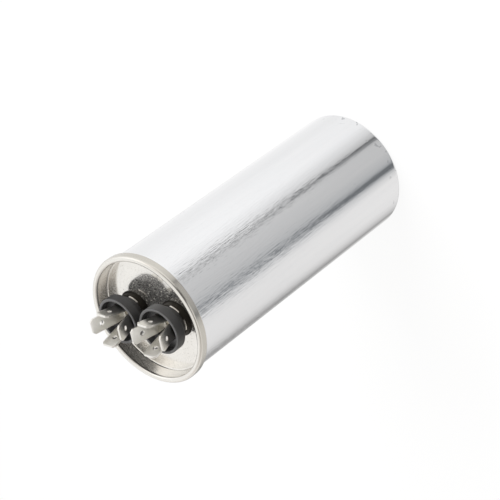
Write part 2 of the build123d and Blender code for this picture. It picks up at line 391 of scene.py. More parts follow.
def lid_outline():
    """Pressed lid: deck, countersink wall, the turn over the can's rim and the tuck under its hook."""
    corner_r = lid_wall_r - lid_corner
    corner_z = deck_z + lid_corner
    hook_top = seam_turn_z - hook_end_gap
    turn_centre = (seam_turn_r, seam_turn_z)
    tuck_centre = (seam_tuck_r, seam_tuck_z)
    outline = [Vector((0, deck_z))]
    outline += arc((corner_r, corner_z), lid_corner, -90, 0)
    outline += arc(turn_centre, seam_turn, 180, 0, 2 * arc_steps)
    outline += arc(tuck_centre, seam_tuck, 0, -180, 2 * arc_steps)
    outline += [Vector((lid_hook_r, hook_top)), Vector((lid_hook_outer_r, hook_top))]
    outline += arc(tuck_centre, seam_tuck - lid_sheet, -180, 0)
    outline += arc(turn_centre, seam_turn - lid_sheet, 0, 180)
    outline += arc((corner_r, corner_z), lid_corner + lid_sheet, 0, -90)
    outline.append(Vector((0, deck_z - lid_sheet)))
    return outline


def collar_outline():
    """Collar drawn up from the lid's deck round a cup's neck."""
    foot_centre = (collar_foot_r, collar_foot_radius)
    outline = arc(foot_centre, collar_foot_radius, -90, -180)
    outline += arc((seat_r, collar_height - collar_edge_round), collar_edge_round, 0, 90)
    outline.append(Vector((collar_r, collar_height)))
    outline += arc(foot_centre, collar_foot_radius + lid_sheet, -180, -90)
    return [point + Vector((0, deck_z)) for point in outline]


def cup_outline():
    """Stepped cup, closed on itself round the rivet's hole."""
    hole_r = rivet_r + rivet_clearance
    flange_z = cup_height - cup_flange_height
    mouth_floor = flange_z + cup_flange_web
    neck_end = cup_low.z - deck_z
    under = cup_under_fillet
    lip = cup_lip_fillet
    outline = [
        Vector((hole_r, neck_end)),
        Vector((neck_r, neck_end)),
        Vector((neck_r, collar_height)),
        Vector((seat_r, collar_height)),
        Vector((seat_r, flange_z)),
    ]
    outline += arc((flange_r - under, flange_z + under), under, -90, 0)
    outline += arc((flange_r - lip, cup_height - lip), lip, 0, 90, fillet_steps)
    outline += arc((mouth_r + lip, cup_height - lip), lip, 90, 180, fillet_steps)
    outline.append(Vector((mouth_r, mouth_floor)))
    outline += arc((socket_r + lip, mouth_floor - lip), lip, 90, 180, fillet_steps)
    outline += [Vector((socket_r, cup_floor)), Vector((hole_r, cup_floor)), outline[0].copy()]
    return [point + Vector((0, deck_z)) for point in outline]


def dome(brim_r, brim_z, crown_z):
    """Arc from a brim to the crown on the axis, level at the crown."""
    rise = abs(crown_z - brim_z)
    radius = (brim_r ** 2 + rise ** 2) / (2 * rise)
    up = 1 if crown_z > brim_z else -1
    points = []
    for step in range(arc_steps + 1):
        r = brim_r * (1 - step / arc_steps)
        points.append(Vector((r, crown_z - up * (radius - (radius ** 2 - r ** 2) ** 0.5))))
    return points


def rivet_outline():
    """Rivet with a domed head in the cup and a spread tail under the lid."""
    head_z = rivet_high.z - rivet_head_height
    tail_z = rivet_low.z + rivet_tail_height
    head_brim = head_z + rivet_brim_share * rivet_head_height
    tail_brim = tail_z - rivet_brim_share * rivet_tail_height
    outline = dome(rivet_tail_r, tail_brim, rivet_low.z)[::-1]
    outline += [
        Vector((rivet_tail_r, tail_z)),
        Vector((rivet_r, tail_z)),
        Vector((rivet_r, head_z)),
        Vector((rivet_head_r, head_z)),
    ]
    return outline + dome(rivet_head_r, head_brim, rivet_high.z)


# Small helpers for node trees

def feed(tree, socket, value):
    """Sets a socket to a value, or links it to another socket."""
    if isinstance(value, bpy.types.NodeSocket):
        tree.links.new(value, socket)
    else:
        socket.default_value = value


def add_node(tree, kind, inputs=None, **settings):
    """New node with its settings, and its inputs set to a value or linked to another socket."""
    made = tree.nodes.new(kind)
    for name, value in settings.items():
        setattr(made, name, value)
    for key, value in (inputs or {}).items():
        feed(tree, made.inputs[key], value)
    return made


def calc(tree, operation, first, second=0.0):
    """Result of one sum on two values."""
    return add_node(tree, "ShaderNodeMath", {0: first, 1: second}, operation=operation).outputs[0]


def rest_of(tree, mask):
    """What a mask leaves of the whole."""
    return calc(tree, "SUBTRACT", 1.0, mask)


def add_shares(tree, value, *shares):
    """Value with a share of each of some masks added to it."""
    for mask, share in shares:
        value = calc(tree, "ADD", value, calc(tree, "MULTIPLY", mask, share))
    return value


def distance(tree, x, y):
    """Distance in plan from an upright axis."""
    flat = add_node(tree, "ShaderNodeCombineXYZ", {0: x, 1: y}).outputs[0]
    return add_node(tree, "ShaderNodeVectorMath", {0: flat}, operation="LENGTH").outputs["Value"]


def remap(tree, value, from_range, to_range=(0.0, 1.0)):
    """Value carried, with its ends clamped, from one range to another."""
    return add_node(
        tree,
        "ShaderNodeMapRange",
        {
            "Value": value,
            "From Min": from_range[0],
            "From Max": from_range[1],
            "To Min": to_range[0],
            "To Max": to_range[1],
        },
    ).outputs[0]


def noise(tree, place, per_metre, detail=3.0):
    """Soft noise with so many patches to the metre."""
    return add_node(
        tree, "ShaderNodeTexNoise", {"Vector": place, "Scale": per_metre, "Detail": detail}
    ).outputs[0]


def open_tree(tree, inputs, outputs):
    """Group's named sockets, and its input and output nodes. An input is a name, a type and a value."""
    for name, kind, value in inputs:
        socket = tree.interface.new_socket(name, in_out="INPUT", socket_type=kind)
        if value is not None:
            socket.default_value = value
    for name, kind in outputs:
        tree.interface.new_socket(name, in_out="OUTPUT", socket_type=kind)
    return tree.nodes.new("NodeGroupInput").outputs, tree.nodes.new("NodeGroupOutput").inputs


def set_input(modifier, name, value):
    """Sets a named input of a Geometry Nodes modifier."""
    for socket in modifier.node_group.interface.items_tree:
        if socket.item_type == "SOCKET" and socket.in_out == "INPUT" and socket.name == name:
            modifier[socket.identifier] = value


# Geometry trees

def make_turning_tree():
    """Turns the input's outline, drawn in X and Z, about an upright axis."""
    tree = bpy.data.node_groups.new("Turned piece", "GeometryNodeTree")
    given, result = open_tree(
        tree,
        [
            ("Outline", "NodeSocketGeometry", None),
            ("Outline Points", "NodeSocketInt", 2),
            ("Segments", "NodeSocketInt", 64),
            ("Axis Place", "NodeSocketVector", None),
            ("Merge Gap", "NodeSocketFloat", 0.0),
            ("Finish", "NodeSocketMaterial", None),
        ],
        [("Piece", "NodeSocketGeometry")],
    )
    columns = calc(tree, "ADD", given["Segments"], 1.0)
    grid = add_node(
        tree,
        "GeometryNodeMeshGrid",
        {"Vertices X": columns, "Vertices Y": given["Outline Points"]},
    )
    index = tree.nodes.new("GeometryNodeInputIndex").outputs[0]
    column = calc(tree, "FLOOR", calc(tree, "DIVIDE", index, given["Outline Points"]))
    row = calc(tree, "MODULO", index, given["Outline Points"])
    place = tree.nodes.new("GeometryNodeInputPosition").outputs[0]
    sample = add_node(
        tree,
        "GeometryNodeSampleIndex",
        {"Geometry": given["Outline"]},
        data_type="FLOAT_VECTOR",
        domain="POINT",
    )
    value_in = next(s for s in sample.inputs if s.name == "Value" and s.type == "VECTOR")
    tree.links.new(place, value_in)
    tree.links.new(row, sample.inputs["Index"])
    value_out = next(s for s in sample.outputs if s.type == "VECTOR")
    outline = add_node(tree, "ShaderNodeSeparateXYZ", {0: value_out}).outputs
    angle = calc(tree, "DIVIDE", calc(tree, "MULTIPLY", column, 2 * pi), given["Segments"])
    around = add_node(
        tree,
        "ShaderNodeCombineXYZ",
        {
            0: calc(tree, "MULTIPLY", outline[0], calc(tree, "COSINE", angle)),
            1: calc(tree, "MULTIPLY", outline[0], calc(tree, "SINE", angle)),
            2: outline[2],
        },
    ).outputs[0]
    centred = add_node(tree, "ShaderNodeVectorMath", {0: around, 1: given["Axis Place"]}, operation="ADD")
    turned = add_node(
        tree, "GeometryNodeSetPosition", {"Geometry": grid.outputs[0], "Position": centred.outputs[0]}
    )
    closed = add_node(
        tree,
        "GeometryNodeMergeByDistance",
        {"Geometry": turned.outputs[0], "Distance": given["Merge Gap"]},
    )
    whole = add_node(tree, "GeometryNodeRealizeInstances", {0: closed.outputs[0]})
    finished = add_node(
        tree, "GeometryNodeSetMaterial", {"Geometry": whole.outputs[0], "Material": given["Finish"]}
    )
    tree.links.new(finished.outputs[0], result[0])
    return tree


def make_folding_tree():
    """Folds a flat blank, drawn along X and across Y, so that its length follows a path."""
    tree = bpy.data.node_groups.new("Folded strip", "GeometryNodeTree")
    given, result = open_tree(
        tree,
        [
            ("Blank", "NodeSocketGeometry", None),
            ("Fold Path", "NodeSocketObject", None),
            ("Finish", "NodeSocketMaterial", None),
        ],
        [("Strip", "NodeSocketGeometry")],
    )
    path = add_node(tree, "GeometryNodeObjectInfo", {"Object": given["Fold Path"]})
    flat = tree.nodes.new("GeometryNodeInputPosition").outputs[0]
    parts = add_node(tree, "ShaderNodeSeparateXYZ", {0: flat}).outputs
    spot = add_node(
        tree,
        "GeometryNodeSampleCurve",
        {"Curves": path.outputs["Geometry"], "Length": parts[0]},
        mode="LENGTH",
    )
    across = add_node(tree, "ShaderNodeCombineXYZ", {1: parts[1]}).outputs[0]
    folded = add_node(
        tree, "ShaderNodeVectorMath", {0: spot.outputs["Position"], 1: across}, operation="ADD"
    )
    strip = add_node(
        tree, "GeometryNodeSetPosition", {"Geometry": given["Blank"], "Position": folded.outputs[0]}
    )
    whole = add_node(tree, "GeometryNodeRealizeInstances", {0: strip.outputs[0]})
    finished = add_node(
        tree, "GeometryNodeSetMaterial", {"Geometry": whole.outputs[0], "Material": given["Finish"]}
    )
    tree.links.new(finished.outputs[0], result[0])
    return tree


# Meshes and finished pieces

def link_mesh(name, mesh):
    """Object at the origin that shows a mesh."""
    piece = bpy.data.objects.new(name, mesh)
    bpy.context.scene.collection.objects.link(piece)
    return piece


def finish_piece(name, drafts, place=Matrix()):
    """Plain mesh of drafts and their modifiers, joined where they meet, put in place and shaded smooth."""
    graph = bpy.context.evaluated_depsgraph_get()
    form = bmesh.new()
    meshes = []
    for draft in drafts:
        meshes.append(bpy.data.meshes.new_from_object(draft.evaluated_get(graph), depsgraph=graph))
        form.from_mesh(meshes[-1])
    for draft in drafts:
        bpy.data.objects.remove(draft)
    form.transform(place)
    bmesh.ops.remove_doubles(form, verts=form.verts, dist=merge_gap)
    bmesh.ops.recalc_face_normals(form, faces=form.faces)
    whole, *spares = meshes
    form.to_mesh(whole)
    form.free()
    for spare in spares:
        bpy.data.meshes.remove(spare)
    whole.shade_smooth()
    whole.set_sharp_from_angle(angle=smooth_below)
    whole.name = name
    return link_mesh(name, whole)


def cylinders(places, radius, length, segments=hole_segments):
    """Mesh object of upright round bars, one at each place, used as a cutter."""
    form = bmesh.new()
    for place in places:
        bmesh.ops.create_cone(
            form,
            cap_ends=True,
            segments=segments,
            radius1=radius,
            radius2=radius,
            depth=length,
            matrix=place,
        )
    mesh = bpy.data.meshes.new("cutter")
    form.to_mesh(mesh)
    form.free()
    return link_mesh("cutter", mesh)


def cut_holes(draft, cutters):
    """Boolean cuts on a draft piece."""
    for cutter in cutters:
        cut = draft.modifiers.new("Hole", "BOOLEAN")
        cut.operation = "DIFFERENCE"
        cut.solver = "EXACT"
        cut.object = cutter


def turned_draft(name, outline, segments, finish, axis_place=(0, 0, 0)):
    """Draft of a turned piece, with its outline and its Geometry Nodes modifier."""
    points = with_supports(outline)
    mesh = bpy.data.meshes.new(name + "_outline")
    mesh.from_pydata([(point.x, 0, point.y) for point in points], [], [])
    draft = link_mesh(name + "_draft", mesh)
    turning = draft.modifiers.new("Turning", "NODES")
    turning.node_group = turning_tree
    set_input(turning, "Outline Points", len(points))
    set_input(turning, "Segments", segments)
    set_input(turning, "Axis Place", axis_place)
    set_input(turning, "Merge Gap", merge_gap)
    set_input(turning, "Finish", finish)
    return draft


def rounded_path(points, radii):
    """Path through points, with an arc of its own radius at each inner point."""
    path = [points[0]]
    for before, corner, after, radius in zip(points, points[1:], points[2:], radii):
        back = (before - corner).normalized()
        ahead = (after - corner).normalized()
        half = back.angle(ahead) / 2
        centre = corner + (back + ahead).normalized() * radius / sin(half)
        start = (corner + back * radius / tan(half) - centre).normalized()
        end = (corner + ahead * radius / tan(half) - centre).normalized()
        for step in range(arc_steps + 1):
            path.append(centre + start.slerp(end, step / arc_steps) * radius)
    path.append(points[-1])
    return path


def strip_path(base_z, first_splay, second_splay):
    """Middle line of a strip, from tip to tip, in X and Z from the deck."""
    middle = base_z + tab_thickness / 2
    bend_z = cup_floor + tab_bend_rise
    first_bend = Vector((-tab_root, 0, bend_z))
    second_bend = Vector((tab_root, 0, bend_z))
    first_lean = Vector((-sin(first_splay), 0, cos(first_splay)))
    second_lean = Vector((sin(second_splay), 0, cos(second_splay)))
    corner_r = tab_corner_radius + tab_thickness / 2
    path = rounded_path(
        [
            first_bend + first_lean * (tab_blade_length - tab_tip_setback),
            first_bend,
            Vector((-tab_root, 0, middle)),
            Vector((tab_root, 0, middle)),
            second_bend,
            second_bend + second_lean * (tab_blade_length - tab_tip_setback),
        ],
        [tab_splay_radius, corner_r, corner_r, tab_splay_radius],
    )
    return path, first_lean, second_lean


def strip_blank(length):
    """Flat blank of a strip, with the corners of both tips cut off."""
    stations = [0.0]
    body = length - 2 * tab_tip_chamfer
    stations += [tab_tip_chamfer + body * step / strip_rows for step in range(strip_rows + 1)]
    stations.append(length)
    verts = []
    for station in stations:
        at_tip = min(station, length - station) < tab_tip_chamfer / 2
        half = tab_width / 2 - (tab_tip_chamfer if at_tip else 0)
        verts += [(station, half * (2 * step / strip_columns - 1), 0) for step in range(strip_columns + 1)]
    faces = []
    across = strip_columns + 1
    for row in range(len(stations) - 1):
        for column in range(strip_columns):
            corner = row * across + column
            faces.append((corner, corner + 1, corner + across + 1, corner + across))
    mesh = bpy.data.meshes.new("blank")
    mesh.from_pydata(verts, [], faces)
    return mesh


def tab_strip(name, base_z, first_splay, second_splay, place, finish):
    """Strip blanked flat, folded to a U, thickened, with rounded edges and its three holes."""
    path, first_lean, second_lean = strip_path(base_z, first_splay, second_splay)
    length = sum((end - start).length for start, end in zip(path, path[1:]))
    curve = bpy.data.curves.new("fold_path", "CURVE")
    curve.dimensions = "3D"
    spline = curve.splines.new("POLY")
    spline.points.add(len(path) - 1)
    for knot, point in zip(spline.points, path):
        knot.co = (*point, 1)
    fold_path = bpy.data.objects.new("fold_path", curve)
    bpy.context.scene.collection.objects.link(fold_path)

    draft = link_mesh(name + "_draft", strip_blank(length))
    folding = draft.modifiers.new("Folding", "NODES")
    folding.node_group = folding_tree
    set_input(folding, "Fold Path", fold_path)
    set_input(folding, "Finish", finish)
    sheet = draft.modifiers.new("Sheet", "SOLIDIFY")
    sheet.thickness = tab_thickness
    sheet.offset = 0
    sheet.use_even_offset = True
    edges = draft.modifiers.new("Edges", "BEVEL")
    edges.width = tab_edge_round
    edges.segments = edge_segments
    edges.limit_method = "ANGLE"
    edges.angle_limit = edge_angle

    upright = Vector((0, 0, 1))
    holes = []
    for tip, lean in ((path[0], first_lean), (path[-1], second_lean)):
        face_normal = lean.cross(Vector((0, 1, 0)))
        turn = upright.rotation_difference(face_normal).to_matrix().to_4x4()
        holes.append(Matrix.Translation(tip - lean * tab_hole_from_tip) @ turn)
    blade_holes = cylinders(holes, tab_hole_r, tab_cut)
    middle = Vector((0, 0, base_z + tab_thickness / 2))
    rivet_hole = cylinders([Matrix.Translation(middle)], rivet_r + rivet_clearance, tab_cut)
    cut_holes(draft, [blade_holes, rivet_hole])
    strip = finish_piece(name, [draft], place)
    for helper in (blade_holes, rivet_hole, fold_path):
        bpy.data.objects.remove(helper)
    return strip


# Effects that several finishes share

def make_lines_group():
    """Fine lines drawn out along one axis, and the few of them that are deep enough to be scratches."""
    tree = bpy.data.node_groups.new("Drawn lines", "ShaderNodeTree")
    given, result = open_tree(
        tree,
        [
            ("Place", "NodeSocketVector", None),
            ("Lines per Metre", "NodeSocketVector", None),
            ("Scratch Level", "NodeSocketFloat", 0.7),
            ("Detail", "NodeSocketFloat", 4.0),
        ],
        [("Lines", "NodeSocketFloat"), ("Scratches", "NodeSocketFloat")],
    )
    stretched = add_node(
        tree,
        "ShaderNodeVectorMath",
        {0: given["Place"], 1: given["Lines per Metre"]},
        operation="MULTIPLY",
    ).outputs[0]
    lines = add_node(
        tree,
        "ShaderNodeTexNoise",
        {"Vector": stretched, "Scale": 1.0, "Detail": given["Detail"], "Roughness": 0.6},
    ).outputs[0]
    sparse = add_node(
        tree,
        "ShaderNodeTexNoise",
        {"Vector": stretched, "Scale": 2.3, "Detail": 1.0, "Roughness": 0.4},
    ).outputs[0]
    deepest = calc(tree, "ADD", given["Scratch Level"], scratch_edge)
    scratches = remap(tree, sparse, (given["Scratch Level"], deepest))
    tree.links.new(lines, result["Lines"])
    tree.links.new(scratches, result["Scratches"])
    return tree


def make_specks_group():
    """Scattered specks: dust on plastic and metal, pits and grains on metal."""
    tree = bpy.data.node_groups.new("Specks", "ShaderNodeTree")
    given, result = open_tree(
        tree,
        [
            ("Place", "NodeSocketVector", None),
            ("Specks per Metre", "NodeSocketFloat", 800.0),
            ("Speck Share", "NodeSocketFloat", 0.3),
            ("Speck Radius", "NodeSocketFloat", 0.25),
        ],
        [("Specks", "NodeSocketFloat")],
    )
    cells = add_node(
        tree,
        "ShaderNodeTexVoronoi",
        {"Vector": given["Place"], "Scale": given["Specks per Metre"]},
    )
    chance = add_node(tree, "ShaderNodeSeparateColor", {0: cells.outputs["Color"]}).outputs[0]
    chosen = calc(tree, "LESS_THAN", chance, given["Speck Share"])
    inside = remap(tree, cells.outputs["Distance"], (given["Speck Radius"], 0.0))
    tree.links.new(calc(tree, "MULTIPLY", chosen, inside), result["Specks"])
    return tree


def make_wear_group():
    """Rubbed edges, where the surface turns sharply, broken up by a soft noise."""
    tree = bpy.data.node_groups.new("Edge wear", "ShaderNodeTree")
    given, result = open_tree(
        tree,
        [
            ("Place", "NodeSocketVector", None),
            ("Patches per Metre", "NodeSocketFloat", 600.0),
            ("Wear Start", "NodeSocketFloat", 0.52),
            ("Wear Full", "NodeSocketFloat", 0.62),
        ],
        [("Wear", "NodeSocketFloat")],
    )
    turn = tree.nodes.new("ShaderNodeNewGeometry").outputs["Pointiness"]
    edge = remap(tree, turn, (given["Wear Start"], given["Wear Full"]))
    patches = noise(tree, given["Place"], given["Patches per Metre"])
    broken = remap(tree, patches, rubbed_levels)
    tree.links.new(calc(tree, "MULTIPLY", edge, broken), result["Wear"])
    return tree


# Finishes

def start_finish(name):
    """New material: its tree, its Principled shader and the Object coordinates that it reads."""
    material = bpy.data.materials.new(name)
    material.use_nodes = True
    tree = material.node_tree
    tree.nodes.clear()
    shader = tree.nodes.new("ShaderNodeBsdfPrincipled")
    out = tree.nodes.new("ShaderNodeOutputMaterial")
    tree.links.new(shader.outputs[0], out.inputs["Surface"])
    place = tree.nodes.new("ShaderNodeTexCoord").outputs["Object"]
    return material, tree, shader, place


def effect(tree, group, **inputs):
    """Outputs of a shared effect placed in a material. Input names are given with underscores."""
    named = {name.replace("_", " "): value for name, value in inputs.items()}
    return add_node(tree, "ShaderNodeGroup", named, node_tree=group).outputs


def specks(tree, place, per_metre, share, radius):
    """Specks in a share of so many cells to the metre. A cell is 1 across for the radius."""
    inputs = {"Specks_per_Metre": per_metre, "Speck_Share": share, "Speck_Radius": radius}
    return effect(tree, specks_group, Place=place, **inputs)["Specks"]


def blend(tree, share, first, second):
    """Colour between two colours."""
    mix = tree.nodes.new("ShaderNodeMix")
    mix.data_type = "RGBA"
    sockets = [s for s in mix.inputs if s.type == "RGBA"]
    for socket, value in ((mix.inputs["Factor"], share), (sockets[0], first), (sockets[1], second)):
        feed(tree, socket, value)
    return next(s for s in mix.outputs if s.type == "RGBA")


def emboss(tree, shader, height, depth):
    """Relief of a given depth from a height between 0 and 1."""
    bump = add_node(tree, "ShaderNodeBump", {"Height": height, "Strength": 1.0, "Distance": depth})
    tree.links.new(bump.outputs[0], shader.inputs["Normal"])


def set_shader(tree, shader, **values):
    """Shader sockets set to a value or linked. Input names are given with underscores."""
    for name, value in values.items():
        feed(tree, shader.inputs[name.replace("_", " ")], value)


def make_can_finish():
    """Bright drawn aluminium: nicked and mirror-like by the base, broken by draw lines towards the lid."""
    material, tree, shader, place = start_finish("drawn_aluminium")
    height = add_node(tree, "ShaderNodeSeparateXYZ", {0: place}).outputs[2]
    drawn = remap(tree, height, (draw_start_z, draw_full_z), draw_strength)
    by_base = remap(tree, height, (base_corner, nick_end_z), (1.0, 0.0))
    dashes = effect(
        tree, lines_group, Place=place, Lines_per_Metre=(2100, 2100, 170), Scratch_Level=0.72, Detail=1.5
    )
    bands = effect(tree, lines_group, Place=place, Lines_per_Metre=(420, 420, 30), Scratch_Level=0.7)
    pits = specks(tree, place, per_metre=300.0, share=0.04, radius=0.14)
    flecks = remap(tree, noise(tree, place, per_metre=420.0), nick_levels, nick_strength)
    relief = calc(tree, "MULTIPLY", dashes["Lines"], drawn)
    relief = add_shares(tree, relief, (bands["Lines"], 0.15), (pits, -0.5))
    emboss(tree, shader, relief, draw_line_depth)
    rough = remap(tree, height, (draw_start_z, dull_full_z), can_roughness)
    rough = add_shares(tree, rough, (dashes["Scratches"], 0.12), (pits, 0.2))
    bright = blend(tree, bands["Lines"], aluminium_grey, aluminium_bright)
    marked = calc(tree, "MULTIPLY", dashes["Scratches"], calc(tree, "MULTIPLY", drawn, can_scuff_strength))
    scuffed = blend(tree, marked, bright, aluminium_scuff)
    colour = blend(tree, calc(tree, "MULTIPLY", flecks, by_base), scuffed, aluminium_nick)
    set_shader(tree, shader, Base_Color=colour, Metallic=1.0, Roughness=rough)
    return material


def collar_masks(tree, x, y, height):
    """Where the lid's collars are, and where the painted shade on them is."""
    from_axis = calc(tree, "SUBTRACT", calc(tree, "ABSOLUTE", x), terminal_axes["right"].x)
    ring = distance(tree, from_axis, y)
    collar = remap(tree, ring, (collar_foot_r, collar_foot_r + painted_shade_fade), (1.0, 0.0))
    side_x = calc(tree, "MULTIPLY", from_axis, calc(tree, "SIGN", x))
    bearing = calc(tree, "ARCTAN2", y, side_x)
    # Painted shade: up to the edge along the run, below a bare band on both sides of it where the highlight
    # shows, up to the edge again further round
    from_run = calc(tree, "ABSOLUTE", calc(tree, "SUBTRACT", bearing, shade_run_bearing))
    past_edge = deck_z + 2 * collar_height
    band_foot = deck_z + collar_height - highlight_band_height
    run = remap(tree, from_run, shade_run_side, (past_edge, band_foot))
    far_side = remap(tree, from_run, highlight_band_end, (band_foot, past_edge))
    top = calc(tree, "MAXIMUM", run, far_side)
    below = remap(tree, calc(tree, "SUBTRACT", height, top), (0.0, painted_shade_fade), (1.0, 0.0))
    return collar, calc(tree, "MULTIPLY", collar, below)


def make_lid_finish():
    """Bright tinplate: a hazy warm mirror, dusty on the deck, duller on the seam, with painted shade on the
    collars.
    """
    material, tree, shader, place = start_finish("bright_tinplate")
    x, y, height = add_node(tree, "ShaderNodeSeparateXYZ", {0: place}).outputs
    radius = distance(tree, x, y)
    wall = remap(tree, radius, (lid_wall_r - lid_corner, lid_wall_r))
    seamed = remap(tree, radius, (lid_wall_r + seam_turn / 4, lid_wall_r + seam_turn))
    panel = remap(tree, radius, (seam_outer_r - seam_turn / 4, seam_outer_r))
    # Painted shade on the collars under the cups, with bare bands at their top edges for the highlight
    collar, collar_shade = collar_masks(tree, x, y, height)
    deck = rest_of(tree, wall)
    open_deck = calc(tree, "MULTIPLY", deck, rest_of(tree, collar))
    cloud = noise(tree, place, per_metre=160.0)
    rolled = effect(tree, lines_group, Place=place, Lines_per_Metre=(260, 3000, 3000), Scratch_Level=0.7)
    grains = specks(tree, place, per_metre=3400.0, share=0.6, radius=0.5)
    grains = calc(tree, "MULTIPLY", grains, deck)
    crumbs = specks(tree, place, per_metre=1100.0, share=0.3, radius=0.28)
    crumbs = remap(tree, crumbs, (0.0, crumb_edge))
    dust_film = add_shares(tree, deck_dust_film, (grains, 0.13))
    dust = calc(tree, "MULTIPLY", calc(tree, "MAXIMUM", crumbs, dust_film), open_deck)
    relief = add_shares(tree, rolled["Lines"], (grains, 0.3))
    emboss(tree, shader, calc(tree, "MULTIPLY", relief, deck), tinplate_grain_depth)
    rough = remap(tree, cloud, noise_middle, tinplate_roughness)
    rough = add_shares(tree, rough, (rolled["Scratches"], 0.12), (grains, 0.5), (dust, 0.5))
    rough = add_shares(tree, rough, (collar_shade, 0.4), (wall, 0.08), (seamed, 0.02))
    plate = blend(tree, cloud, tinplate_warm, tinplate_bright)
    crown = blend(tree, seamed, plate, seam_crown_tone)
    rolled_seam = blend(tree, panel, crown, seam_panel_tone)
    # The painted shade darkens the collars, and is rougher and without the clear coat
    with_collar_shade = blend(tree, collar_shade, rolled_seam, painted_shade_tone)
    colour = blend(tree, dust, with_collar_shade, deck_dust_tone)
    set_shader(tree, shader, Base_Color=colour, Metallic=rest_of(tree, dust), Roughness=rough)
    set_shader(tree, shader, Coat_Weight=rest_of(tree, collar_shade), Coat_Roughness=0.5, Coat_IOR=1.8)
    return material


def make_cup_finish():
    """Satin black moulded plastic, a little greyer where its edges wear and with a painted sheen on its top
    face, with specks of dust.
    """
    material, tree, shader, place = start_finish("satin_black_plastic")
    height = add_node(tree, "ShaderNodeSeparateXYZ", {0: place}).outputs[2]
    # Painted sheen: the cup's top face is lightened by its height, as where the edges wear
    lip = remap(tree, height, (cup_high.z - cup_lip_fillet, cup_high.z))
    cloud = noise(tree, place, per_metre=350.0)
    grain = noise(tree, place, per_metre=5200.0, detail=2.0)
    wear = effect(tree, wear_group, Place=place)["Wear"]
    dust = specks(tree, place, per_metre=1300.0, share=0.07, radius=0.16)
    body = blend(tree, cloud, plastic_dark, plastic_light)
    wear_and_top_sheen = calc(tree, "MAXIMUM", lip, calc(tree, "MULTIPLY", wear, cup_wear_strength))
    rubbed_and_top_sheen = blend(tree, wear_and_top_sheen, body, plastic_rubbed_and_sheen)
    colour = blend(tree, calc(tree, "MULTIPLY", dust, cup_dust_strength), rubbed_and_top_sheen, plastic_dust)
    emboss(tree, shader, grain, plastic_grain_depth)
    rough = add_shares(tree, remap(tree, cloud, noise_wide, plastic_roughness), (dust, 0.3))
    set_shader(tree, shader, Base_Color=colour, Roughness=rough)
    return material


def make_tab_finish():
    """Tin plating on the tabs: warm and bright, with rolled lines and faint stains."""
    material, tree, shader, place = start_finish("bright_tin_plating")
    rolled = effect(tree, lines_group, Place=place, Lines_per_Metre=(3200, 3200, 240), Scratch_Level=0.66)
    stain = noise(tree, place, per_metre=420.0)
    wear = effect(tree, wear_group, Place=place, Wear_Start=0.53, Wear_Full=0.66)["Wear"]
    plated = blend(tree, stain, tab_warm, tab_bright)
    marked = calc(tree, "MULTIPLY", rolled["Scratches"], tab_scuff_strength)
    scuffed = blend(tree, marked, plated, tab_scuff)
    colour = blend(tree, calc(tree, "MULTIPLY", wear, tab_wear_strength), scuffed, tab_rubbed)
    emboss(tree, shader, rolled["Lines"], tab_line_depth)
    rough = add_shares(tree, remap(tree, stain, noise_wide, tab_roughness), (wear, 0.08))
    set_shader(tree, shader, Base_Color=colour, Metallic=1.0, Roughness=rough)
    return material


def make_rivet_finish():
    """Tin plating on the rivets, dulled and pitted where the set struck the head."""
    material, tree, shader, place = start_finish("struck_tin_plating")
    stain = noise(tree, place, per_metre=900.0)
    pits = specks(tree, place, per_metre=2600.0, share=0.3, radius=0.35)
    colour = blend(tree, stain, rivet_dull, rivet_bright)
    emboss(tree, shader, rest_of(tree, pits), rivet_pit_depth)
    rough = remap(tree, stain, noise_wide, rivet_roughness)
    set_shader(tree, shader, Base_Color=colour, Metallic=1.0, Roughness=rough)
    return material


def make_inner_finish(name, dark, light, roughness, grain, metallic=0.0, depth=inner_grain_depth):
    """Finish of a piece inside the can: two tones, a grain stretched as its stuff runs, and its relief."""
    material, tree, shader, place = start_finish(name)
    lines = effect(tree, lines_group, Place=place, Lines_per_Metre=grain)["Lines"]
    colour = blend(tree, lines, (*dark, 1), (*light, 1))
    rough = remap(tree, lines, noise_wide, roughness)
    emboss(tree, shader, lines, depth)
    set_shader(tree, shader, Base_Color=colour, Metallic=metallic, Roughness=rough)
    return material


# Stage: floor, light and camera

def camera_mask(tree):
    """What the camera sees straight or through something clear."""
    path = tree.nodes.new("ShaderNodeLightPath").outputs
    return calc(tree, "MAXIMUM", path["Is Camera Ray"], path["Is Transmission Ray"])


def make_floor():
    """Pale floor that shows white, with the soft shadow where the can stands."""
    near, far = -floor_reach, floor_reach
    mesh = bpy.data.meshes.new("floor")
    mesh.from_pydata([(near, near, 0), (far, near, 0), (far, far, 0), (near, far, 0)], [], [(0, 1, 2, 3)])
    floor = link_mesh("floor", mesh)
    material = bpy.data.materials.new("white_floor")
    material.use_nodes = True
    tree = material.node_tree
    tree.nodes.clear()
    paint = add_node(tree, "ShaderNodeBsdfDiffuse", {"Color": floor_paint})
    glow = add_node(tree, "ShaderNodeEmission", {"Color": (1, 1, 1, 1), "Strength": 1.0})
    share = calc(tree, "MULTIPLY", camera_mask(tree), floor_glow_share)
    mix = add_node(tree, "ShaderNodeMixShader", {0: share, 1: paint.outputs[0], 2: glow.outputs[0]})
    out = tree.nodes.new("ShaderNodeOutputMaterial")
    tree.links.new(mix.outputs[0], out.inputs["Surface"])
    mesh.materials.append(material)
    floor.visible_glossy = False


def ramp(tree, turn, sides):
    """Colour of the tent at a share of a whole turn, from its list of sides."""
    made = add_node(tree, "ShaderNodeValToRGB", {0: turn})
    stops = made.color_ramp.elements
    while len(stops) < len(sides):
        stops.new(1.0)
    for stop, (bearing, level, warmth) in zip(stops, sides):
        stop.position = (bearing - tent_join_deg) / 360
        stop.color = (level * (1 + warmth), level, level * (1 - warmth), 1)
    return made.outputs[0]


